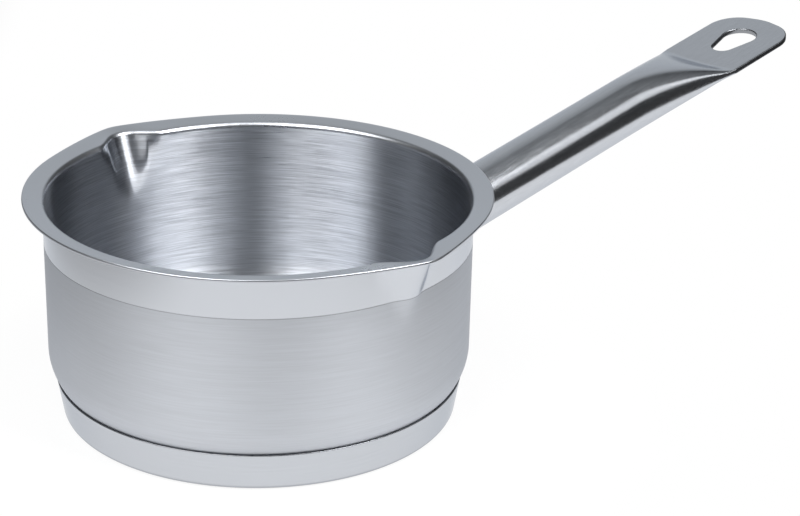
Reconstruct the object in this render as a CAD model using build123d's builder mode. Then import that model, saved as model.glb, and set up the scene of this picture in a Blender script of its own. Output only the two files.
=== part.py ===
"""Milk pan: a drawn stainless pan with two pouring spouts, a capsule base and a tube handle.

The origin is the middle of the base's underside, +Z is up, the handle points to +X and the
spouts to +Y and -Y. Lengths are in millimetres and angles in degrees.
"""
from build123d import *
import os
from math import atan, cos, degrees, hypot, radians, sin, tan

# Shell
wall_radius = 81.0
sheet = 1.0
corner_radius = 20.0
flare_height = 83.5
rim_overhang = 7.3
rim_bend_radius = 2.2
rim_rise = 9.0

# Spouts
spout_depth = 25.5
spout_half_width = 12.0
spout_reach = 9.15
spout_crease = 3.0
spout_power = 1.5
spout_shoulder_share = 0.25
spout_sector = 26.0
spout_steps = 13
spout_rim_bulge = 4.9
spout_rim_crease = 2.1
spout_azimuths = (90.0, 270.0)
spout_top_gap = 7.5
spout_ring_gap = 6.0

# Base
base_height = 6.0
cap_sheet = 0.7
cap_height = 14.6
cap_lip_gap = 0.27
cap_taper = 2.4
cap_foot_round = 1.5
cap_lip_round = 0.25
core_recess = 1.6

# Handle
handle_height = 46.5
handle_tilt = 11.5
tube_radius = 12.5
tube_sheet = 1.2
press_length = 50.0
press_end = 190.0
press_power = 1.5
press_spread_power = 0.8
plate_half_width = 20.3
plate_length = 48.6
plate_drop = 0.7
tip_corner_radius = 15.0
tip_corner_setback = 1.0
cavity_stop = 4.0
hole_length = 25.2
hole_tip_gap = 12.0
hole_small_radius = 5.2
hole_large_radius = 8.0

# Handle's seat on the wall
bracket_sheet = 1.2
bracket_depth = 12.0
bracket_clearance = 0.1
weld_leg = 1.6
weld_round_share = 0.7

# Cuts run this far past the faces that they open
overrun = 6.0


rim_radius = wall_radius + rim_overhang
spout_foot = flare_height - spout_depth
ring_foot = spout_foot - spout_ring_gap


def spout_across(angle):
    """Share of the spout's depth at which its side crosses an angle from its middle."""
    return (hypot(wall_radius * radians(angle), spout_crease) / spout_half_width) ** spout_power


def spout_level(angle, height):
    """Share of the spout's depth that a height stands above its side."""
    return (height - spout_foot) / spout_depth - spout_across(angle)


def spout_lean(angle, height):
    """Outward shift of the wall at an angle from the spout's middle."""
    level = spout_level(angle, height)
    if level <= -spout_shoulder_share:
        return 0.0
    if level < spout_shoulder_share:
        return spout_reach * (level + spout_shoulder_share) ** 2 / (4 * spout_shoulder_share)
    return spout_reach * level


def lean_angle(angle):
    """Slope of the wall just under the rim bend, from the vertical."""
    share = (spout_level(angle, flare_height) + spout_shoulder_share) / (2 * spout_shoulder_share)
    return degrees(atan(min(1, max(0, share)) * spout_reach / spout_depth))


def rim_edge_radius(angle):
    """Radius of the rim's outer edge, which bulges at a spout."""
    share = hypot(angle, spout_rim_crease) - spout_rim_crease
    share /= hypot(spout_sector, spout_rim_crease) - spout_rim_crease
    return rim_radius + spout_rim_bulge * (1 - share) ** 2


def radial_plane(azimuth):
    """Upright half-plane through the pan's axis: x is the radius, y the height."""
    out = (cos(radians(azimuth)), sin(radians(azimuth)), 0)
    return Plane(origin=(0, 0, 0), x_dir=out, z_dir=(out[1], -out[0], 0))


def rim_section(azimuth, angle):
    """Cut through the upper wall and the rim, at an angle from the spout's middle."""
    lean = radians(lean_angle(angle))
    shift = spout_lean(angle, flare_height) + rim_bend_radius * sin(lean) * tan(lean)
    foot = min(spout_foot + spout_across(angle) * spout_depth, flare_height - spout_top_gap)
    centre_r = wall_radius - sheet + shift + rim_bend_radius * cos(lean)
    start, end = 180 - degrees(lean), 90 + rim_rise
    middle = (start + end) / 2

    def bend(radius, turn):
        return centre_r + radius * cos(radians(turn)), flare_height + radius * sin(radians(turn))

    under_radius = rim_bend_radius - sheet
    top, under = bend(rim_bend_radius, end), bend(under_radius, end)
    plain_width = rim_radius - wall_radius + sheet - rim_bend_radius * (1 - sin(radians(rim_rise)))
    edge = (rim_edge_radius(angle), top[1] + plain_width * tan(radians(rim_rise)))
    edge_under = (edge[0] + sheet * sin(radians(rim_rise)), edge[1] - sheet * cos(radians(rim_rise)))
    inner_foot = (wall_radius - sheet, foot)
    outer_foot = (wall_radius, foot)
    with BuildSketch(radial_plane(azimuth)) as section:
        with BuildLine():
            Bezier((wall_radius - sheet, ring_foot), inner_foot, inner_foot, bend(rim_bend_radius, start))
            ThreePointArc(bend(rim_bend_radius, start), bend(rim_bend_radius, middle), top)
            Line(top, edge)
            Line(edge, edge_under)
            Line(edge_under, under)
            ThreePointArc(under, bend(under_radius, middle), bend(under_radius, start))
            Bezier(bend(under_radius, start), outer_foot, outer_foot, (wall_radius, ring_foot))
            Line((wall_radius, ring_foot), (wall_radius - sheet, ring_foot))
        make_face()
    return section.sketch


# Pan body: floor, corner and lower wall are turned; the rim's ring is turned between the spouts
floor_radius = wall_radius - corner_radius
corner_top = base_height + corner_radius
mid_turn = radians(45)
inner_corner = corner_radius - sheet
with BuildPart() as pan_body:
    with BuildSketch(Plane.XZ):
        with BuildLine():
            Line((0, base_height), (floor_radius, base_height))
            ThreePointArc(
                (floor_radius, base_height),
                (floor_radius + corner_radius * sin(mid_turn), corner_top - corner_radius * cos(mid_turn)),
                (wall_radius, corner_top),
            )
            Line((wall_radius, corner_top), (wall_radius, ring_foot))
            Line((wall_radius, ring_foot), (wall_radius - sheet, ring_foot))
            Line((wall_radius - sheet, ring_foot), (wall_radius - sheet, corner_top))
            ThreePointArc(
                (wall_radius - sheet, corner_top),
                (floor_radius + inner_corner * sin(mid_turn), corner_top - inner_corner * cos(mid_turn)),
                (floor_radius, base_height + sheet),
            )
            Line((floor_radius, base_height + sheet), (0, base_height + sheet))
            Line((0, base_height + sheet), (0, base_height))
        make_face()
    revolve(axis=Axis.Z)
    for azimuth in spout_azimuths:
        plain_section = rim_section(azimuth + spout_sector, spout_sector)
        revolve(plain_section, axis=Axis.Z, revolution_arc=180 - 2 * spout_sector)
    for azimuth in spout_azimuths:
        turns = [step * spout_sector / spout_steps for step in range(-spout_steps, spout_steps + 1)]
        loft([rim_section(azimuth + turn, abs(turn)) for turn in turns], ruled=True)
pan_body.part.label = "pan_body"


def shell_radius(height):
    """Outer radius of the shell's corner at a height."""
    return floor_radius + (corner_radius ** 2 - (corner_top - height) ** 2) ** 0.5


# Base cap: a shallow stainless cup whose skirt stands free of the shell's corner
cap_top_radius = shell_radius(cap_height) + cap_lip_gap + cap_sheet
cap_foot_radius = cap_top_radius - cap_taper
cap_lip_inner = cap_top_radius - cap_sheet
cap_foot_inner = cap_foot_radius - cap_sheet
with BuildPart() as base_cap:
    with BuildSketch(Plane.XZ):
        with BuildLine():
            Polyline(
                (0, 0),
                (cap_foot_radius, 0),
                (cap_top_radius, cap_height),
                (cap_lip_inner, cap_height),
                (cap_foot_inner, cap_sheet),
                (0, cap_sheet),
                close=True,
            )
        make_face()
    revolve(axis=Axis.Z)
    foot_edge = base_cap.edges().filter_by(GeomType.CIRCLE).group_by(Axis.Z)[0].sort_by(SortBy.RADIUS)[-1]
    fillet(foot_edge, cap_foot_round)
    fillet(base_cap.edges().filter_by(GeomType.CIRCLE).group_by(Axis.Z)[-1], cap_lip_round)
base_cap.part.label = "base_cap"

# Heat disc: fills the space between the cap and the shell's underside
core_height = cap_height - core_recess
core_slope = cap_taper / cap_height
core_outer = cap_foot_inner + core_slope * (core_height - cap_sheet)
core_inner = shell_radius(core_height)
core_mid = (radians(90) + atan((corner_top - core_height) / (core_inner - floor_radius))) / 2
with BuildPart() as heat_disc:
    with BuildSketch(Plane.XZ):
        with BuildLine():
            Line((0, cap_sheet), (cap_foot_inner, cap_sheet))
            Line((cap_foot_inner, cap_sheet), (core_outer, core_height))
            Line((core_outer, core_height), (core_inner, core_height))
            ThreePointArc(
                (core_inner, core_height),
                (floor_radius + corner_radius * cos(core_mid), corner_top - corner_radius * sin(core_mid)),
                (floor_radius, base_height),
            )
            Line((floor_radius, base_height), (0, base_height))
            Line((0, base_height), (0, cap_sheet))
        make_face()
    revolve(axis=Axis.Z)
heat_disc.part.label = "heat_disc"

# Handle: one tube, round at the wall and pressed flat at its free end
press_start = press_end - press_length
plate_tip = press_end + plate_length
hole_end = plate_tip - hole_tip_gap
hole_start = hole_end - hole_length
handle_out = (cos(radians(handle_tilt)), 0, sin(radians(handle_tilt)))
handle_up = (-handle_out[2], 0, handle_out[0])
handle_root = (wall_radius, 0, handle_height)
tube_plane = Plane(origin=handle_root, x_dir=(0, 1, 0), z_dir=handle_out)
plate_plane = Plane(origin=handle_root, x_dir=handle_out, z_dir=handle_up).offset(-plate_drop - tube_sheet)
round_pull = 4 / 3 * (2 ** 0.5 - 1)
flat_pull = 0.95


def press_share(distance):
    """How far the tube is pressed flat: 0 is round, 1 is the plate."""
    return max(0, (distance - press_start) / (press_end - press_start)) ** press_power


def tube_section(distance, inset):
    """Oval cut through the tube at a distance along its axis, drawn in by an inset.

    The pull is the share of each half size at which a quarter's control points stand.
    """
    share = press_share(distance)
    width = tube_radius + share ** press_spread_power * (plate_half_width - tube_radius) - inset
    height = tube_radius + share * (tube_sheet - tube_radius) - inset
    level = -share * plate_drop
    pull = round_pull + share * (flat_pull - round_pull)
    side, rise = pull * width, pull * height
    top, bottom = level + height, level - height
    with BuildSketch(tube_plane.offset(distance)) as section:
        with BuildLine():
            Bezier((width, level), (width, level + rise), (side, top), (0, top))
            Bezier((0, top), (-side, top), (-width, level + rise), (-width, level))
            Bezier((-width, level), (-width, level - rise), (-side, bottom), (0, bottom))
            Bezier((0, bottom), (side, bottom), (width, level - rise), (width, level))
        make_face()
    return section.sketch


press_shares = (0, 0.15, 0.3, 0.45, 0.6, 0.74, 0.87, 1)
cavity_length = press_length - cavity_stop
tip_circle = plate_tip - plate_half_width
corner_along = plate_tip - tip_corner_setback - tip_corner_radius
corner_across = plate_half_width - tip_corner_radius
with BuildPart() as handle:
    extrude(tube_section(-overrun, 0), amount=overrun + press_start)
    loft([tube_section(press_start + share * press_length, 0) for share in press_shares])
    with BuildSketch(plate_plane):
        with Locations(((press_end + tip_circle) / 2, 0)):
            Rectangle(tip_circle - press_end, 2 * plate_half_width)
        with Locations((tip_circle, 0)):
            Circle(plate_half_width)
        with Locations((corner_along, corner_across), (corner_along, -corner_across)):
            Circle(tip_corner_radius)
        make_hull()
    extrude(amount=2 * tube_sheet)
    with BuildSketch(plate_plane):
        with Locations((hole_start + hole_small_radius, 0)):
            Circle(hole_small_radius)
        with Locations((hole_end - hole_large_radius, 0)):
            Circle(hole_large_radius)
        make_hull()
    extrude(amount=2 * tube_sheet, mode=Mode.SUBTRACT)
    extrude(tube_section(-overrun, tube_sheet), amount=overrun + press_start, mode=Mode.SUBTRACT)
    cavity_sections = [tube_section(press_start + share * cavity_length, tube_sheet) for share in press_shares]
    loft(cavity_sections, mode=Mode.SUBTRACT)
    with Locations((0, 0, handle_height)):
        Cylinder(wall_radius, 2 * handle_height, mode=Mode.SUBTRACT)
handle.part.label = "handle"

# Handle bracket: a pressed cup inside the tube's mouth, its closed end seated on the wall
bracket_radius = tube_radius - tube_sheet - bracket_clearance
with BuildPart() as handle_bracket:
    with BuildSketch(tube_plane.offset(-overrun)):
        Circle(bracket_radius)
    extrude(amount=overrun + bracket_depth)
    with Locations((0, 0, handle_height)):
        Cylinder(wall_radius + bracket_sheet, 2 * handle_height, mode=Mode.INTERSECT)
    with BuildSketch(tube_plane.offset(-overrun)):
        Circle(bracket_radius)
        Circle(bracket_radius - bracket_sheet, mode=Mode.SUBTRACT)
    extrude(amount=overrun + bracket_depth)
    with Locations((0, 0, handle_height)):
        Cylinder(wall_radius, 2 * handle_height, mode=Mode.SUBTRACT)
handle_bracket.part.label = "handle_bracket"

# Handle weld: a bead in the corner between the tube and the wall
with BuildPart() as handle_weld:
    with BuildSketch(tube_plane.offset(-overrun)):
        Circle(tube_radius + weld_leg)
    extrude(amount=2 * overrun)
    extrude(tube_section(-overrun, 0), amount=2 * overrun, mode=Mode.SUBTRACT)
    with Locations((0, 0, handle_height)):
        Cylinder(wall_radius + weld_leg, 2 * handle_height, mode=Mode.INTERSECT)
        Cylinder(wall_radius, 2 * handle_height, mode=Mode.SUBTRACT)
    outer_edge = handle_weld.edges().filter_by(lambda edge: edge.is_closed).sort_by(Axis.X)[-1]
    fillet(outer_edge, weld_round_share * weld_leg)
handle_weld.part.label = "handle_weld"

os.makedirs("parts", exist_ok=True)
export_step(pan_body.part, "parts/pan_body.step")
export_step(base_cap.part, "parts/base_cap.step")
export_step(heat_disc.part, "parts/heat_disc.step")
export_step(handle.part, "parts/handle.step")
export_step(handle_bracket.part, "parts/handle_bracket.step")
export_step(handle_weld.part, "parts/handle_weld.step")
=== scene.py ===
"""Looks of the milk pan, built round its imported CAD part.

The pan's sizes are in millimetres, as on the CAD part, and turn into metres where a mesh is made.
The studio's are in metres. The handle points to +X and the spouts to +Y and -Y.
"""
from math import asin, atan2, cos, degrees, hypot, pi, radians, sin, sqrt

import bmesh
import bpy
import numpy as np
from mathutils import Matrix, Vector


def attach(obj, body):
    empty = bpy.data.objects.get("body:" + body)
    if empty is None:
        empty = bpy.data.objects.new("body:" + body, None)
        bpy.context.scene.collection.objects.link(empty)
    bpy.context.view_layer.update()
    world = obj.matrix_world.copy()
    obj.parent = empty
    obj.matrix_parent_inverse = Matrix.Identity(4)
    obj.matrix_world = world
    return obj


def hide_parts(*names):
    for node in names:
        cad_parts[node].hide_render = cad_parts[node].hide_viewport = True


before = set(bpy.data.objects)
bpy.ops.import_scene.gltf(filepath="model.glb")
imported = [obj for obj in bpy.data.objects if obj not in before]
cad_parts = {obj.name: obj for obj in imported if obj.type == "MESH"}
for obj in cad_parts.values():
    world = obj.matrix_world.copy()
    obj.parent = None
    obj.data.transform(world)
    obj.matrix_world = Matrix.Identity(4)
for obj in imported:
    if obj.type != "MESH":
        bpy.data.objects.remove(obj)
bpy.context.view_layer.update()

MM = 0.001

# Shell, as on the CAD part
wall_radius = 81.0
sheet = 1.0
corner_radius = 20.0
base_height = 6.0
flare_height = 83.5
rim_radius = 88.3
rim_height = 86.69
rim_bend_radius = 2.2
rim_edge_round = 0.3
band_foot = 69.0
ring_foot = 52.0

# Spouts, a little wider and softer than on the CAD part, to follow the photo
spout_depth = 25.5
spout_foot = flare_height - spout_depth
spout_half_width = 13.0
spout_reach = 8.9
spout_crease = 4.6
spout_power = 1.5
spout_shoulder_share = 0.52
spout_sector = 26.0
spout_rim_bulge = 4.9
spout_rim_crease = 2.1
spout_foot_limit = flare_height - 7.5

# Base cap, as on the CAD part
cap_sheet = 0.7
cap_height = 14.6
cap_top_radius = 78.4
cap_foot_radius = 76.0
cap_foot_round = 1.5
cap_lip_round = 0.25

# Handle, its press starting a little earlier and softer than on the CAD part, to follow the photo
handle_height = 46.5
handle_tilt = radians(11.5)
tube_radius = 12.5
tube_sheet = 1.2
saddle_end = 10.0
press_start = 132.0
press_end = 190.0
press_power = 2.0
press_spread_power = 0.8
press_flat_power = 6
press_pull = 0.95
press_bow = 2.0
crease_zone = 6.0
plate_drop = 0.7
plate_half_width = 20.3
plate_edge_round = 0.45
plate_tip = 238.6
tip_corner_radius = 15.0
tip_corner_setback = 1.0
cavity_stop = 4.0
hole_start = 201.4
hole_end = 226.6
hole_small_radius = 5.2
hole_large_radius = 8.0
weld_radius = 1.15
weld_offset = 0.45

# Steps of the shell's mesh, and its azimuth steps by the angle from a spout's middle, in degrees
wall_rings = 44
band_rings = 18
floor_rings = 12
corner_rings = 18
bend_rings = 8
flange_rings = 4
edge_rings = 3
wall_curve_points = 160
azimuth_spans = ((0, 18, 0.4), (18, spout_sector, 0.8), (spout_sector, 90, 1.6))

# Steps of the cap's mesh, and the share of its lip's round that is cut edge, which takes the edge steel
# with its painted shade
lip_edge_share = 0.9
cap_sides = 300
foot_rings = 7
lip_rings = 4
skirt_rings = 8
underside_rings = 9
inside_rings = 7

# Steps of the handle's mesh: places along the tube, each with the steps that lead up to it
outer_stops = ((saddle_end, 5), (press_start, 26), (press_end - crease_zone, 44), (press_end, 24))
inner_stops = ((saddle_end, 2), (press_start, 8), (press_end - cavity_stop, 11))
tube_curve_points = 120
press_sections = 81
plate_steps = 30
plate_face_shares = (0.1, 0.25, 0.4, 0.55, 0.7, 0.82, 0.91, 0.97, 1)
tip_turns = 241
tip_points = 150
hole_turns = 721
ray_points = 2001

# Steps of the weld's mesh, and its ripples as depth, waves round the tube and start
weld_steps = 240
weld_sides = 14
weld_ripples = ((0.05, 46, 0), (0.04, 17, 1))

# Material slots of the shell and of the handle
pan_slots = {"inside": 0, "rim": 1, "band": 2, "wall": 3, "underside": 4}
handle_slots = {"outside": 0, "inside": 1, "edge": 2}


# Lines and meshes


def arc(centre, radius, start, end, steps):
    """Points on an arc, angles in degrees, both ends included."""
    turns = np.radians(np.linspace(start, end, steps + 1))
    return [(centre[0] + radius * cos(t), centre[1] + radius * sin(t)) for t in turns]


def straight(start, end, steps):
    """Points on a straight line, both ends included."""
    start, end = np.array(start), np.array(end)
    return [tuple(start + share * (end - start)) for share in np.linspace(0, 1, steps + 1)]


def cubic(ends, count):
    """Points on the cubic curve from the first of four control points to the last."""
    first, second, third, last = (np.array(p) for p in ends)
    t = np.linspace(0, 1, count)[:, None]
    u = 1 - t
    return u ** 3 * first + 3 * u ** 2 * t * second + 3 * u * t ** 2 * third + t ** 3 * last


def run_lengths(line):
    """Length along a line up to each of its points."""
    return np.concatenate([[0], np.cumsum(np.hypot(*np.diff(line, axis=0).T))])


def read_along(values, runs, lengths):
    """Pairs of values known at some lengths along a line, read at others."""
    return np.stack([np.interp(lengths, runs, values[:, k]) for k in (0, 1)], 1)


def even_shares(line, shares):
    """Points on a line at shares of its length."""
    runs = run_lengths(line)
    return read_along(line, runs, shares * runs[-1])


def spaced(stops):
    """Places from 0 on, in even steps up to each stop."""
    places = [0.0]
    for stop, steps in stops:
        places += list(np.linspace(places[-1], stop, steps + 1)[1:])
    return places


def make_mesh(name, points, faces, materials, face_slots=None):
    """A smooth-shaded object from points in millimetres."""
    mesh = bpy.data.meshes.new(name)
    mesh.from_pydata([tuple(float(c) * MM for c in p) for p in points], [], faces)
    for material in materials:
        mesh.materials.append(material)
    if face_slots is not None:
        mesh.polygons.foreach_set("material_index", face_slots)
    mesh.polygons.foreach_set("use_smooth", [True] * len(mesh.polygons))
    edit = bmesh.new()
    edit.from_mesh(mesh)
    bmesh.ops.recalc_face_normals(edit, faces=edit.faces)
    edit.to_mesh(mesh)
    edit.free()
    mesh.update()
    made = bpy.data.objects.new(name, mesh)
    bpy.context.scene.collection.objects.link(made)
    return made


def turned(name, outlines, azimuths, materials, slots):
    """A solid of revolution whose outline may change with the azimuth.

    Each outline runs from a point on the axis, round the section, to another point on the axis.
    The slots are given for each edge of the outline.
    """
    points = [(0, 0, outlines[0][0][1])]
    for azimuth, outline in zip(azimuths, outlines):
        x, y = cos(radians(azimuth)), sin(radians(azimuth))
        points += [(radius * x, radius * y, height) for radius, height in outline[1:-1]]
    points.append((0, 0, outlines[0][-1][1]))
    last, ring = len(points) - 1, len(outlines[0]) - 2
    faces, face_slots = [], []
    for i in range(len(azimuths)):
        a, b = 1 + i * ring, 1 + (i + 1) % len(azimuths) * ring
        faces.append((0, a, b))
        faces += [(a + j, a + j + 1, b + j + 1, b + j) for j in range(ring - 1)]
        faces.append((a + ring - 1, last, b + ring - 1))
        face_slots += slots
    return make_mesh(name, points, faces, materials, face_slots)


class Surface:
    """Points and faces of a mesh that is joined from rings."""

    def __init__(self):
        self.points, self.faces, self.slots = [], [], []

    def add(self, ring):
        """Adds a ring of points and returns their numbers."""
        first = len(self.points)
        self.points.extend(tuple(p) for p in ring)
        return list(range(first, first + len(ring)))

    def join(self, rings, slot, closed=True):
        """Faces between each two neighbours of some rings with as many points."""
        for a, b in zip(rings, rings[1:]):
            count = len(a)
            for i in range(count if closed else count - 1):
                j = (i + 1) % count
                self.faces.append((a[i], a[j], b[j], b[i]))
                self.slots.append(slot)

    def close(self, ring, slot):
        """One face across a ring."""
        self.faces.append(tuple(ring))
        self.slots.append(slot)


# Pan body


def spout_across(angle):
    """Share of the spout's depth at which its side crosses an angle from its middle."""
    return (hypot(wall_radius * radians(angle), spout_crease) / spout_half_width) ** spout_power


def spout_level(angle, height):
    """Share of the spout's depth that a height stands above its side."""
    return (height - spout_foot) / spout_depth - spout_across(angle)


def spout_lean(angle, height):
    """Outward shift of the wall at a height and at an angle, in degrees, from the spout's middle."""
    level = spout_level(angle, height)
    if level <= -spout_shoulder_share:
        return 0.0
    if level < spout_shoulder_share:
        return spout_reach * (level + spout_shoulder_share) ** 2 / (4 * spout_shoulder_share)
    return spout_reach * level


def lean_angle(angle):
    """Slope of the wall just under the rim bend, from the vertical, in radians."""
    share = (spout_level(angle, flare_height) + spout_shoulder_share) / (2 * spout_shoulder_share)
    return atan2(min(1, max(0, share)) * spout_reach, spout_depth)


def rim_edge_radius(angle):
    """Radius of the rim's outer edge, which bulges at a spout."""
    if angle >= spout_sector:
        return rim_radius
    share = hypot(angle, spout_rim_crease) - spout_rim_crease
    share /= hypot(spout_sector, spout_rim_crease) - spout_rim_crease
    return rim_radius + spout_rim_bulge * (1 - share) ** 2


def rim_section(angle):
    """The sheet over the rim: bend, flange, rounded edge, flange from below and bend from below."""
    lean = lean_angle(angle)
    shift = spout_lean(angle, flare_height) + rim_bend_radius * sin(lean) ** 2 / cos(lean)
    centre = (wall_radius - sheet + shift + rim_bend_radius * cos(lean), flare_height)
    edge = np.array((rim_edge_radius(angle), rim_height))
    reach = edge - centre
    rise = atan2(reach[1], reach[0]) - asin(rim_bend_radius / hypot(*reach))
    out = np.array((cos(rise), sin(rise)))
    up = np.array((-sin(rise), cos(rise)))
    start, end = 180 - degrees(lean), 90 + degrees(rise)
    bend = arc(centre, rim_bend_radius, start, end, bend_rings)
    bend_below = arc(centre, rim_bend_radius - sheet, end, start, bend_rings)
    top_edge = edge - rim_edge_round * out
    upper = top_edge - rim_edge_round * up
    lower = top_edge - (sheet - rim_edge_round) * up
    turns = np.linspace(0, pi / 2, edge_rings + 1)
    lip = [tuple(upper + rim_edge_round * (sin(t) * out + cos(t) * up)) for t in turns]
    lip += [tuple(lower + rim_edge_round * (cos(t) * out - sin(t) * up)) for t in turns]
    flange = straight(bend[-1], top_edge, flange_rings)
    flange_below = straight(lip[-1], bend_below[0], flange_rings)
    return bend, flange, lip, flange_below, bend_below


def wall_line(radius, foot, top, heights):
    """Points at given heights on a wall that leans out above its foot and ends at its top."""
    ends = ((radius, ring_foot), (radius, foot), (radius, foot), top)
    curve = cubic(ends, wall_curve_points)
    return list(zip(np.interp(heights, curve[:, 1], curve[:, 0]), heights))


def pan_outline(angle):
    """The sheet's section at an angle from the nearest spout's middle, with a slot for each edge."""
    bend, flange, lip, flange_below, bend_below = rim_section(angle)
    inner_top, outer_top = bend[0], bend_below[-1]
    foot = min(spout_foot + spout_across(angle) * spout_depth, spout_foot_limit)
    inner_levels = np.linspace(ring_foot, inner_top[1], wall_rings + 1)
    band_levels = np.linspace(outer_top[1], band_foot, band_rings + 1)
    wall_levels = np.linspace(band_foot, ring_foot, wall_rings - band_rings + 1)
    corner = (wall_radius - corner_radius, base_height + corner_radius)
    floor_height = base_height + sheet
    runs = [
        (straight((0, floor_height), (corner[0], floor_height), floor_rings), "inside"),
        (arc(corner, corner_radius - sheet, -90, 0, corner_rings)[1:], "inside"),
        (wall_line(wall_radius - sheet, foot, inner_top, inner_levels), "inside"),
        (bend[1:], "rim"),
        (flange[1:], "rim"),
        (lip[1:], "rim"),
        (flange_below[1:], "band"),
        (bend_below[1:], "band"),
        (wall_line(wall_radius, foot, outer_top, band_levels[1:]), "band"),
        (wall_line(wall_radius, foot, outer_top, wall_levels[1:]), "wall"),
        (arc(corner, corner_radius, 0, -90, corner_rings), "wall"),
        (straight((corner[0], base_height), (0, base_height), floor_rings)[1:], "underside"),
    ]
    outline = [p for run, _ in runs for p in run]
    slots = [pan_slots[zone] for run, zone in runs for _ in run][1:]
    return outline, slots


def spout_azimuths():
    """Azimuths round the pan, closest together in the spouts, with each one's angle from a spout."""
    angles = np.concatenate([np.arange(*span) for span in azimuth_spans])
    found = [(0.0, 90.0), (180.0, 90.0)]
    for middle in (90, 270):
        found += [(middle + angle, angle) for angle in angles]
        found += [(middle - angle, angle) for angle in angles[1:]]
    return sorted((float(azimuth % 360), float(angle)) for azimuth, angle in found)


def build_pan(materials):
    """The shell as one closed mesh."""
    azimuths, angles = zip(*spout_azimuths())
    sections = {angle: pan_outline(angle) for angle in set(angles)}
    outlines = [sections[angle][0] for angle in angles]
    slots = sections[angles[0]][1]
    return turned("pan_shell", outlines, azimuths, materials, slots)


# Base cap


def cap_outline():
    """The capsule's section: underside, rounded foot, leaning skirt, lip and inside."""
    slope = atan2(cap_top_radius - cap_foot_radius, cap_height)
    out = np.array((cos(slope), -sin(slope)))
    up = np.array((sin(slope), cos(slope)))
    foot = (cap_foot_radius - cap_foot_round * (1 - sin(slope)) / cos(slope), cap_foot_round)
    foot_round = arc(foot, cap_foot_round, -90, -degrees(slope), foot_rings)
    lip_centre = np.array((cap_top_radius, cap_height)) - cap_lip_round * (up + out)
    lip = arc(lip_centre, cap_lip_round, -degrees(slope), 90, lip_rings)
    lip_in = (cap_top_radius - cap_sheet, cap_height)
    under = straight((0, 0), (foot[0], 0), underside_rings)
    skirt = straight(foot_round[-1], lip[0], skirt_rings)[1:-1]
    inside = straight((cap_foot_radius - cap_sheet, cap_sheet), (0, cap_sheet), inside_rings)
    return under + foot_round[1:] + skirt + lip + [lip_in] + inside


def build_cap(skirt_material, lip_material):
    """The capsule as one closed mesh, its lip in a material of its own."""
    line = cap_outline()
    lip_start = cap_height - lip_edge_share * cap_lip_round
    slots = [int(height > lip_start) for _, height in line[1:]]
    azimuths = np.arange(cap_sides) * 360 / cap_sides
    return turned("capsule_cap", [line] * cap_sides, azimuths, [skirt_material, lip_material], slots)


# Handle, along its own X axis from the pan's wall, with Z out of the plate's upper face


def on_handle(along, across, height):
    """A place on the handle's own axes, in the part's frame."""
    x, z = cos(handle_tilt), sin(handle_tilt)
    return wall_radius + along * x - height * z, across, handle_height + along * z + height * x


def flat_quarter():
    """A quarter of the pressed section's outline, from its side to its middle."""
    round_foot = tube_sheet - plate_edge_round
    round_side = plate_half_width - plate_edge_round
    side = [(plate_half_width, 0.0), (plate_half_width, round_foot)]
    side += arc((round_side, round_foot), plate_edge_round, 0, 90, edge_rings)[1:]
    return np.array(side + straight((round_side, tube_sheet), (0, tube_sheet), plate_steps)[1:])


def tube_quarter(share, shares):
    """A quarter of the tube's section, from its side to its top, at a share of the press."""
    width = tube_radius + share ** press_spread_power * (plate_half_width - tube_radius)
    height = tube_radius + share * (tube_sheet - tube_radius)
    round_pull = 4 / 3 * (sqrt(2) - 1)
    pull = round_pull + share * (press_pull - round_pull)
    ends = ((width, 0), (width, pull * height), (pull * width, height), (0, height))
    return even_shares(cubic(ends, tube_curve_points), shares)


def closed_outline(quarter):
    """The whole outline that a quarter is mirrored into."""
    half = np.concatenate([quarter, (quarter * (-1, 1))[::-1][1:]])
    return np.concatenate([half, (half * (1, -1))[::-1][1:-1]])


def pressed_sections(inset):
    """Sections of the tube from round to flat, drawn in by an inset."""
    flat = flat_quarter()
    runs = run_lengths(flat)
    sections = []
    for share in np.linspace(0, 1, press_sections):
        quarter = tube_quarter(share, runs / runs[-1])
        quarter = quarter + share ** press_flat_power * (flat - quarter)
        half_sizes = quarter.max(0)
        sections.append(closed_outline(quarter * (half_sizes - inset) / half_sizes))
    return np.array(sections)


def tube_rings(inset, distances):
    """Rings of points on the tube, drawn in by an inset. The first lies on the pan's wall.

    The crease that ends the press bows towards the pan in the tube's middle.
    """
    sections = pressed_sections(inset)
    across = np.abs(sections[-1][:, 0]) / plate_half_width
    index = np.arange(len(across))
    rings = []
    for distance in distances:
        local = distance + press_bow * (1 - across ** 2)
        share = np.clip((local - press_start) / (press_end - press_start), 0, 1) ** press_power
        at = share * (press_sections - 1)
        low = np.minimum(at.astype(int), press_sections - 2)
        part = (at - low)[:, None]
        section = (1 - part) * sections[low, index] + part * sections[low + 1, index]
        section[:, 1] -= share * plate_drop
        along = np.full(len(section), float(distance))
        if distance < saddle_end:
            wall = (np.sqrt(wall_radius ** 2 - section[:, 0] ** 2) - wall_radius) / cos(handle_tilt)
            wall += section[:, 1] * sin(handle_tilt) / cos(handle_tilt)
            along = wall + (saddle_end - wall) * distance / saddle_end
        rings.append(np.stack([along, section[:, 0], section[:, 1]], 1))
    return rings


def hull_outline(circles, turns):
    """Points and outward normals round the hull of circles (x, y, radius), by the normal's turn."""
    normals = np.array([(cos(turn), sin(turn)) for turn in turns])
    points = []
    for n in normals:
        x, y, radius = max(circles, key=lambda c: c[0] * n[0] + c[1] * n[1] + c[2])
        points.append(np.array((x, y)) + radius * n)
    return np.array(points), normals


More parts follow.
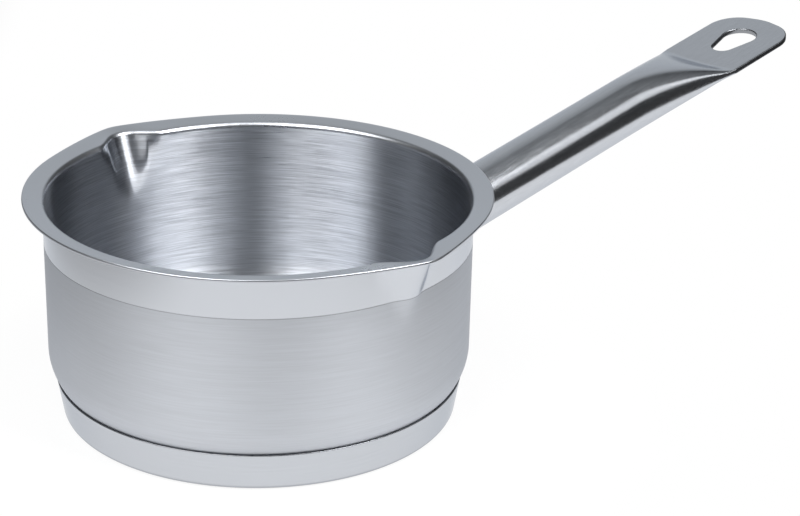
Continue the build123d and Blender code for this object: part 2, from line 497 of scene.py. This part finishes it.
def tip_outline():
    """The plate's outline from its right side round the tip to its left one, with its normals."""
    corner_along = plate_tip - tip_corner_setback - tip_corner_radius
    corner_across = plate_half_width - tip_corner_radius
    circles = [
        (plate_tip - plate_half_width, 0, plate_half_width),
        (corner_along, corner_across, tip_corner_radius),
        (corner_along, -corner_across, tip_corner_radius),
    ]
    points, normals = hull_outline(circles, np.linspace(-pi / 2, pi / 2, tip_turns))
    points = np.concatenate([[(press_end, -plate_half_width)], points, [(press_end, plate_half_width)]])
    normals = np.concatenate([[(0, -1)], normals, [(0, 1)]])
    runs = run_lengths(points)
    lengths = np.linspace(0, runs[-1], tip_points)
    normals = read_along(normals, runs, lengths)
    return read_along(points, runs, lengths), normals / np.hypot(*normals.T)[:, None]


def edge_profile():
    """Inset and height of the plate's edge, from its upper face to its lower one."""
    round_foot = tube_sheet - plate_edge_round
    turns = np.linspace(0, pi / 2, edge_rings + 1)
    upper = [(plate_edge_round * (1 - sin(t)), round_foot + plate_edge_round * cos(t)) for t in turns]
    lower = [(inset, -height) for inset, height in upper[::-1]]
    return [(inset, height - plate_drop) for inset, height in upper + [(0.0, 0.0)] + lower]


def hole_outline(grow, centre, directions):
    """Where rays from the hole's centre meet its edge, drawn back by a length."""
    circles = [
        (hole_start + hole_small_radius, 0, hole_small_radius + grow),
        (hole_end - hole_large_radius, 0, hole_large_radius + grow),
    ]
    points = hull_outline(circles, np.linspace(-pi, pi, hole_turns))[0]
    points = even_shares(np.concatenate([points, points[:1]]), np.linspace(0, 1, ray_points))[:-1]
    angles = np.arctan2(points[:, 1] - centre[1], points[:, 0] - centre[0])
    radii = np.hypot(points[:, 0] - centre[0], points[:, 1] - centre[1])
    order = np.argsort(angles)
    angles = np.concatenate([angles[order] + turn for turn in (-2 * pi, 0, 2 * pi)])
    found = np.interp(directions, angles, np.tile(radii[order], 3))
    return np.stack([centre[0] + found * np.cos(directions), centre[1] + found * np.sin(directions)], 1)


def build_tube(surface):
    """The tube's outside and bore. Returns the outside's last ring, at the press's crease."""
    outer = [surface.add(ring) for ring in tube_rings(0, spaced(outer_stops))]
    surface.join(outer, handle_slots["outside"])
    inner = [surface.add(ring) for ring in tube_rings(tube_sheet, spaced(inner_stops))]
    surface.join(inner, handle_slots["inside"])
    surface.join([outer[0], inner[0]], handle_slots["inside"])
    surface.close(inner[-1], handle_slots["inside"])
    return outer[-1]


def build_plate_edge(surface, crease):
    """The plate's rounded edge. Returns the outlines of its upper and lower faces.

    The edge starts and ends at the sides of the tube's last ring.
    """
    top_middle = len(flat_quarter()) - 1
    top_left, top_right = top_middle - plate_steps, top_middle + plate_steps
    profile = edge_profile()
    points, normals = tip_outline()
    loops = []
    for k, (inset, height) in enumerate(profile):
        free = surface.add([(x, y, height) for x, y in (points - inset * normals)[1:-1]])
        right, left = crease[(top_right + k) % len(crease)], crease[(top_left - k) % len(crease)]
        loops.append([right] + free + [left])
    surface.join(loops, handle_slots["edge"], closed=False)
    bottom_right = top_right + len(profile) - 1
    bottom = [crease[(bottom_right + k) % len(crease)] for k in range(2 * plate_steps + 1)]
    return crease[top_left:top_right + 1] + loops[0][1:-1], bottom[::-1] + loops[-1][1:-1]


def build_plate_faces(surface, outlines):
    """The plate's upper and lower faces, each from its outline to the hole, and the hole's wall."""
    centre = ((hole_start + hole_end) / 2, 0.0)
    profile = edge_profile()
    hole_rings = []
    for outline, (inset, _) in zip(outlines, (profile[0], profile[-1])):
        flat = np.array([surface.points[i][:2] for i in outline])
        height = surface.points[outline[0]][2]
        directions = np.arctan2(flat[:, 1] - centre[1], flat[:, 0] - centre[0])
        hole = hole_outline(inset, centre, directions)
        rings = [outline]
        for share in plate_face_shares:
            rings.append(surface.add([(x, y, height) for x, y in flat + share * (hole - flat)]))
        surface.join(rings, handle_slots["outside"])
        hole_rings.append((rings[-1], directions))
    (top, directions), (bottom, _) = hole_rings
    wall = [top]
    for inset, height in profile[1:-1]:
        line = hole_outline(inset, centre, directions)
        wall.append(surface.add([(x, y, height) for x, y in line]))
    surface.join(wall + [bottom], handle_slots["edge"])


def build_handle(materials):
    """The tube, its pressed end and its hanging hole as one closed mesh."""
    surface = Surface()
    crease = build_tube(surface)
    outlines = build_plate_edge(surface, crease)
    build_plate_faces(surface, outlines)
    placed = [on_handle(*p) for p in surface.points]
    return make_mesh("handle_tube", placed, surface.faces, materials, surface.slots)


def build_weld(material):
    """A rippled bead in the corner between the tube and the wall."""
    surface = Surface()
    reach, wall = tube_radius + weld_offset, wall_radius + weld_offset
    axial = np.array((cos(handle_tilt), 0, sin(handle_tilt)))
    rings = []
    for turn in 2 * pi * np.arange(weld_steps) / weld_steps:
        y, height = reach * cos(turn), reach * sin(turn)
        along = (sqrt(wall ** 2 - y ** 2) - wall_radius + height * sin(handle_tilt)) / cos(handle_tilt)
        centre = np.array(on_handle(along, y, height))
        radial = np.array((-sin(turn) * sin(handle_tilt), cos(turn), sin(turn) * cos(handle_tilt)))
        ripple = sum(depth * sin(waves * turn + start) for depth, waves, start in weld_ripples)
        radius = weld_radius * (1 + ripple)
        sides = 2 * pi * np.arange(weld_sides) / weld_sides
        rings.append(surface.add([centre + radius * (cos(q) * radial + sin(q) * axial) for q in sides]))
    surface.join(rings + rings[:1], 0)
    return make_mesh("weld_bead", surface.points, surface.faces, [material])


# Node trees


class Nodes:
    """Short calls for building a node tree. A value may be a number or another node's output."""

    def __init__(self, tree):
        self.tree = tree

    def add(self, kind, **settings):
        """A new node with some of its settings."""
        node = self.tree.nodes.new("ShaderNode" + kind)
        for name, value in settings.items():
            setattr(node, name, value)
        return node

    def fill(self, socket, value):
        """Gives an input its value, or links it to the output that has it."""
        if isinstance(value, bpy.types.NodeSocket):
            self.tree.links.new(value, socket)
        else:
            socket.default_value = value

    def math(self, operation, *values):
        """The result of one operation on some values."""
        node = self.add("Math", operation=operation)
        for socket, value in zip(node.inputs, values):
            self.fill(socket, value)
        return node.outputs[0]

    def split(self, vector):
        """The three parts of a vector, by axis."""
        node = self.add("SeparateXYZ")
        self.fill(node.inputs["Vector"], vector)
        return node.outputs

    def noise(self, coords, scale, detail, roughness):
        """Noise on coordinates stretched by a scale for each axis, per metre."""
        mapping = self.add("Mapping")
        mapping.inputs["Scale"].default_value = scale
        self.fill(mapping.inputs["Vector"], coords)
        node = self.add("TexNoise")
        node.inputs["Scale"].default_value = 1.0
        node.inputs["Detail"].default_value = detail
        node.inputs["Roughness"].default_value = roughness
        self.fill(node.inputs["Vector"], mapping.outputs["Vector"])
        return node.outputs["Fac"]

    def ramp(self, value, start, end, low=0.0, high=1.0, smooth=False):
        """A value mapped from one range to another, held at the ends."""
        node = self.add("MapRange", interpolation_type="SMOOTHSTEP" if smooth else "LINEAR")
        for name, number in (("From Min", start), ("From Max", end), ("To Min", low), ("To Max", high)):
            node.inputs[name].default_value = number
        self.fill(node.inputs["Value"], value)
        return node.outputs["Result"]

    def mix(self, share, first, second):
        """A colour at a share of the way between two."""
        node = self.add("Mix", data_type="RGBA")
        self.fill(node.inputs["Factor"], share)
        self.fill(node.inputs[6], first)
        self.fill(node.inputs[7], second)
        return node.outputs[2]

    def elevation_ramp(self, elevation, stops, tone):
        """A colour that follows an elevation through stops of (degrees, strength)."""
        node = self.add("ValToRGB")
        node.color_ramp.interpolation = "EASE"
        elements = node.color_ramp.elements
        while len(elements) < len(stops):
            elements.new(0.5)
        for element, (degrees_up, strength) in zip(elements, stops):
            element.position = (degrees_up + 90) / 180
            element.color = (*(strength * c for c in tone), 1)
        self.fill(node.inputs["Fac"], self.ramp(elevation, -90, 90))
        return node.outputs["Color"]


# Materials

steel_colour = (0.604, 0.626, 0.666)
edge_tint = (0.74, 0.76, 0.79, 1)
ring_grain_turn = 0.25
bump_depth = 0.05 * MM
line_shade = 0.62
line_core_share = 0.25

# Fine and broad marks of the grain, and smudges over it: noise, the part of it in use, and effect
fine_noise = {"detail": 2.0, "roughness": 0.6}
fine_range = (0.36, 0.64)
fine_share = 0.7
broad_noise = {"detail": 2.0, "roughness": 0.5}
broad_range = (0.34, 0.66)
broad_share = 0.3
broad_scale = 0.3
smudge_noise = {"detail": 3.0, "roughness": 0.55}
smudge_range = (0.3, 0.7)
smudge_scale = (25, 25, 25)
smudge_roughness = 0.015


def painted_shade_line(nodes, coords, colour, height, width):
    """A colour with a thin line of painted shade round the part at a height."""
    distance = nodes.math("ABSOLUTE", nodes.math("SUBTRACT", nodes.split(coords)["Z"], height))
    shade = nodes.ramp(distance, line_core_share * width, width, line_shade, 1.0)
    node = nodes.add("VectorMath", operation="SCALE")
    nodes.fill(node.inputs[0], colour)
    nodes.fill(node.inputs["Scale"], shade)
    return node.outputs["Vector"]


def leaning(nodes, coords, angle):
    """Coordinates turned so that a part that rises at an angle lies along X."""
    node = nodes.add("VectorRotate", rotation_type="Y_AXIS")
    node.inputs["Angle"].default_value = angle
    nodes.fill(node.inputs["Vector"], coords)
    return node.outputs["Vector"]


def steel(name, rough, grain, streak, spread, across=0.0, relief=0.0, shade=1.0, lean=0.0, line=None):
    """Stainless steel with a grain: noise stretched along the direction that the grain runs in.

    The grain is a scale for each axis, per metre. Streak and spread say how far the grain changes
    the colour, as a share, and the roughness. Across is how much rougher the steel is across the
    grain, and it is 0 on a surface with none. Relief is the grain's bump and shade scales the
    colour; on some pieces below that is painted light or painted shade. Lean turns the grain about
    Y, as on the handle. Line is the height and width, in metres, of a dark line of painted shade
    that runs round: groove shade where two finishes meet, or a contact shadow at a foot.
    """
    material = bpy.data.materials.new(name)
    material.use_nodes = True
    nodes = Nodes(material.node_tree)
    shader = material.node_tree.nodes["Principled BSDF"]
    coords = nodes.add("TexCoord").outputs["Object"]
    if lean:
        coords = leaning(nodes, coords, lean)
    fine = nodes.noise(coords, grain, **fine_noise)
    broad = nodes.noise(coords, tuple(broad_scale * scale for scale in grain), **broad_noise)
    smudge = nodes.noise(coords, smudge_scale, **smudge_noise)
    fine_marks = nodes.ramp(fine, *fine_range, 0, fine_share)
    broad_marks = nodes.ramp(broad, *broad_range, 0, broad_share)
    marks = nodes.math("ADD", fine_marks, broad_marks)
    grain_roughness = nodes.ramp(marks, 0, 1, rough - spread, rough + spread)
    smudge_shift = nodes.ramp(smudge, *smudge_range, -smudge_roughness, smudge_roughness)
    dull = (*(c * shade * (1 - streak) for c in steel_colour), 1)
    bright = (*(c * shade * (1 + streak) for c in steel_colour), 1)
    colour = nodes.mix(marks, dull, bright)
    if line:
        colour = painted_shade_line(nodes, coords, colour, *line)
    tangent = nodes.add("Tangent", direction_type="RADIAL", axis="Z").outputs["Tangent"]
    shader.inputs["Metallic"].default_value = 1.0
    shader.inputs["Specular Tint"].default_value = edge_tint
    shader.inputs["Anisotropic"].default_value = across
    shader.inputs["Anisotropic Rotation"].default_value = ring_grain_turn
    nodes.fill(shader.inputs["Tangent"], tangent)
    nodes.fill(shader.inputs["Roughness"], nodes.math("ADD", grain_roughness, smudge_shift))
    nodes.fill(shader.inputs["Base Color"], colour)
    if relief:
        bump = nodes.add("Bump")
        bump.inputs["Strength"].default_value = relief
        bump.inputs["Distance"].default_value = bump_depth
        nodes.fill(bump.inputs["Height"], marks)
        nodes.fill(shader.inputs["Normal"], bump.outputs["Normal"])
    return material


# Ring grain runs level round the pan, and the tube's runs along it
# Painted shade: a thin dark line round the band's foot, standing in for the shade of a groove
band_groove_painted_shade = (band_foot * MM, 0.0005)
# Painted shadow: a dark line round the cap's foot, standing in for its contact shadow on the table
cap_foot_painted_shadow = (0.0, 0.0016)
# Painted shade: the inside's steel is darker than the outside's, standing in for the dimmer light inside
# the pan
inside_steel = steel(
    "inside_steel", 0.34, (62, 62, 3000), streak=0.2, spread=0.06, across=1.0, relief=0.3, shade=0.86
)
rim_steel = steel("rim_steel", 0.3, (700,) * 3, streak=0.01, spread=0.02)
# Painted light: the band's steel is lighter than plain steel, standing in for brighter reflections
band_steel = steel("band_steel", 0.22, (40, 40, 900), streak=0.01, spread=0.015, across=0.3, shade=1.06)
# Painted light: the wall's steel is a little lighter than plain steel, standing in for brighter
# reflections
wall_steel = steel(
    "wall_steel", 0.47, (50, 50, 2000), streak=0.045, spread=0.03, across=0.68, relief=0.08, shade=1.02,
    line=band_groove_painted_shade
)
underside_steel = steel("underside_steel", 0.4, (500,) * 3, streak=0.03, spread=0.05, relief=0.1)
# Painted shade: the cap's steel is darker, standing in for the darker floor near its foot that it reflects
cap_steel = steel(
    "cap_steel", 0.2, (40, 40, 1800), streak=0.02, spread=0.02, across=0.3, shade=0.93, line=cap_foot_painted_shadow
)
handle_steel = steel(
    "handle_steel", 0.19, (160, 2400, 2400), streak=0.05, spread=0.035, relief=0.12, lean=handle_tilt
)
handle_inside = steel("handle_inside", 0.45, (400,) * 3, streak=0.04, spread=0.05, relief=0.1)
# Painted shade: the plate's rounded edge, the hole's wall and the cap's lip are darkened to half, standing
# in for their shade and hiding the lip's glint
painted_shade_edge_steel = steel("painted_shade_edge_steel", 0.3, (900,) * 3, streak=0.03, spread=0.05, relief=0.05, shade=0.5)
weld_steel = steel("weld_steel", 0.32, (900,) * 3, streak=0.05, spread=0.08, relief=0.2, shade=0.92)
bracket_steel = steel("bracket_steel", 0.42, (600,) * 3, streak=0.04, spread=0.06, relief=0.15, shade=0.92)
core_aluminium = steel("core_aluminium", 0.5, (500,) * 3, streak=0.05, spread=0.06, relief=0.2, shade=1.1)

# Pieces

pan = build_pan([inside_steel, rim_steel, band_steel, wall_steel, underside_steel])
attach(pan, "root")
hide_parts("pan_body")

# The cap's lip takes the darkened edge steel, painted shade over its glint at the seam
cap = build_cap(cap_steel, painted_shade_edge_steel)
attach(cap, "root")
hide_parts("base_cap")

handle = build_handle([handle_steel, handle_inside, painted_shade_edge_steel])
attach(handle, "root")
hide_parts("handle")

weld = build_weld(weld_steel)
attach(weld, "root")
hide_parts("handle_weld")

# The disc and the bracket keep their CAD shapes
for node, material in (("heat_disc", core_aluminium), ("handle_bracket", bracket_steel)):
    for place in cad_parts[node].material_slots:
        place.material = material

# Studio: x to the camera's right and y away from it, turned into the part's frame

handle_bearing = radians(40.5)
studio_turn = Matrix.Rotation(-handle_bearing, 4, "Z")

# Camera, fitted to the photo: its place before the pan's axis and its angles in radians
camera_back = 0.72995
camera_height = 0.36045
camera_yaw = 0.07335
camera_pitch = 0.391792
camera_roll = 0.024385
focal_pixels = 2065.2
frame_pixels = 800
sensor_width = 36.0


def build_camera():
    """The camera that takes the photo's view."""
    level = cos(camera_pitch)
    forward = Vector((sin(camera_yaw) * level, cos(camera_yaw) * level, -sin(camera_pitch)))
    level_right = Vector((cos(camera_yaw), -sin(camera_yaw), 0))
    level_up = level_right.cross(forward)
    right = level_right * cos(camera_roll) + level_up * sin(camera_roll)
    up = -level_right * sin(camera_roll) + level_up * cos(camera_roll)
    turn = Matrix((right, up, -forward)).transposed().to_4x4()
    data = bpy.data.cameras.new("camera")
    data.sensor_width = sensor_width
    data.lens = focal_pixels / frame_pixels * sensor_width
    camera = bpy.data.objects.new("camera", data)
    camera.matrix_world = studio_turn @ Matrix.Translation((0, -camera_back, camera_height)) @ turn
    bpy.context.scene.collection.objects.link(camera)
    bpy.context.scene.camera = camera


build_camera()

# Lights

light_aim = Vector((0, 0, 0.08))


def softbox(name, bearing, elevation, distance, size, radiance):
    """A rectangular light that faces the pan.

    Its bearing is from the camera's side of the pan, clockwise seen from above, in degrees.
    """
    data = bpy.data.lights.new(name, "AREA")
    data.shape = "RECTANGLE"
    data.size, data.size_y = size
    data.energy = radiance * pi * size[0] * size[1]
    light = bpy.data.objects.new(name, data)
    b, e = radians(bearing), radians(elevation)
    place = light_aim + distance * Vector((sin(b) * cos(e), -cos(b) * cos(e), sin(e)))
    aim = (light_aim - place).to_track_quat("-Z", "Y").to_matrix().to_4x4()
    light.matrix_world = studio_turn @ Matrix.Translation(place) @ aim
    bpy.context.scene.collection.objects.link(light)


softbox("right_box", bearing=59, elevation=51, distance=1.2, size=(0.62, 0.8), radiance=9.6)
softbox("right_edge", bearing=88, elevation=29, distance=1.3, size=(0.3, 0.46), radiance=0.95)
softbox("left_box", bearing=-46, elevation=52, distance=1.2, size=(0.95, 0.8), radiance=6.6)

# Room

room_tone = (0.968, 1.0, 1.025)

# Strength by elevation in degrees, on the room's sides and at its back
side_stops = ((-90, 0.045), (15, 0.045), (35, 0.045), (47, 0.12), (60, 0.18), (72, 0.36), (85, 0.8))
back_stops = ((-90, 0.72), (5, 0.7), (25, 0.6), (42, 0.5), (53, 0.38), (62, 0.3), (72, 0.5), (85, 0.9))

# The back fades in between these cosines of the bearing from straight behind the pan. They are
# worked out with a square taken from a little over 1, so that nothing is divided by 0.
back_fade = (0.88, 0.97)
over_one = 1.0001


def build_world():
    """A dark room with a pale wall behind the pan and a pale ceiling."""
    world = bpy.data.worlds.new("studio")
    world.use_nodes = True
    bpy.context.scene.world = world
    nodes = Nodes(world.node_tree)
    direction = nodes.add("TexCoord").outputs["Generated"]
    rise = nodes.split(direction)["Z"]
    elevation = nodes.math("DEGREES", nodes.math("ARCSINE", rise))
    behind = nodes.add("VectorMath", operation="DOT_PRODUCT")
    nodes.fill(behind.inputs[0], direction)
    behind.inputs[1].default_value = studio_turn @ Vector((0, 1, 0))
    level = nodes.math("SQRT", nodes.math("SUBTRACT", over_one, nodes.math("POWER", rise, 2)))
    facing = nodes.math("DIVIDE", behind.outputs["Value"], level)
    sides = nodes.elevation_ramp(elevation, side_stops, room_tone)
    back = nodes.elevation_ramp(elevation, back_stops, room_tone)
    room = nodes.mix(nodes.ramp(facing, *back_fade, smooth=True), sides, back)
    nodes.fill(world.node_tree.nodes["Background"].inputs["Color"], room)


build_world()

# Table

table_half = 4.0
table_gap = 0.0002
table_white = 0.86
room_floor_strength = 0.05

# Edges beside the pan's axis, how wide they fade, and how the right one slants out with distance
table_left = -0.6
table_left_fade = 0.4
table_right = 0.31
table_right_fade = 0.03
table_right_slant = 0.25
table_front = -0.5
table_front_fade = 0.4

# Painted shade: the table is dimmer on its left, from the first of these places on, and dimmest from the
# second
painted_shade_start = -0.145
painted_shade_full = -0.27
painted_shade_strength = 0.52

# Share of plain white, which covers the pan's shadow: from one radius to another, and the shares
plain_near = (0.0765, 0.086, 0.1, 0.9)
plain_far = (0.084, 0.16, 0.88, 1.0)


def table_strength(nodes, coords):
    """How bright the table is at a place, with the dark room's floor beyond its edges and painted shade on
    its left.
    """
    x, y, _ = nodes.split(coords)
    left = nodes.ramp(x, table_left - table_left_fade, table_left, smooth=True)
    slanted = nodes.math("SUBTRACT", x, nodes.math("MULTIPLY", y, table_right_slant))
    right = nodes.ramp(slanted, table_right + table_right_fade, table_right, smooth=True)
    front = nodes.ramp(y, table_front - table_front_fade, table_front, smooth=True)
    table = nodes.math("MULTIPLY", nodes.math("MULTIPLY", left, right), front)
    # Painted shade: the table's colour and glow are dimmer on its left
    tone = nodes.ramp(x, painted_shade_full, painted_shade_start, painted_shade_strength, 1.0, smooth=True)
    return nodes.math("MULTIPLY", nodes.math("MAXIMUM", table, room_floor_strength), tone)


def plain_share(nodes, coords):
    """Share of plain white at a place. Only the camera and sharp reflections see plain white."""
    length = nodes.add("VectorMath", operation="LENGTH")
    nodes.fill(length.inputs[0], coords)
    near = nodes.ramp(length.outputs["Value"], *plain_near, smooth=True)
    far = nodes.ramp(length.outputs["Value"], *plain_far, smooth=True)
    path = nodes.add("LightPath").outputs
    seen = nodes.math("MAXIMUM", path["Is Camera Ray"], path["Is Glossy Ray"])
    seen = nodes.math("MAXIMUM", seen, path["Is Transmission Ray"])
    return nodes.math("MULTIPLY", nodes.math("MAXIMUM", near, far), seen)


def table_material():
    """White that keeps the pan's shadow close to the pan and is plain further out."""
    material = bpy.data.materials.new("floor_white")
    material.use_nodes = True
    material.node_tree.nodes.clear()
    nodes = Nodes(material.node_tree)
    coords = nodes.add("TexCoord").outputs["Object"]
    strength = table_strength(nodes, coords)
    diffuse = nodes.add("BsdfDiffuse")
    nodes.fill(diffuse.inputs["Color"], nodes.math("MULTIPLY", strength, table_white))
    plain = nodes.add("Emission")
    nodes.fill(plain.inputs["Strength"], strength)
    both = nodes.add("MixShader")
    nodes.fill(both.inputs["Fac"], plain_share(nodes, coords))
    nodes.fill(both.inputs[1], diffuse.outputs[0])
    nodes.fill(both.inputs[2], plain.outputs[0])
    nodes.fill(nodes.add("OutputMaterial").inputs["Surface"], both.outputs[0])
    return material


def build_floor():
    """A white table in the dark room, just below the pan."""
    mesh = bpy.data.meshes.new("floor")
    corners = [(x * table_half, y * table_half, 0) for x, y in ((-1, -1), (1, -1), (1, 1), (-1, 1))]
    mesh.from_pydata(corners, [], [(0, 1, 2, 3)])
    mesh.materials.append(table_material())
    floor = bpy.data.objects.new("floor", mesh)
    floor.matrix_world = studio_turn @ Matrix.Translation((0, 0, -table_gap))
    bpy.context.scene.collection.objects.link(floor)


build_floor()
bpy.context.scene.view_settings.view_transform = "Standard"
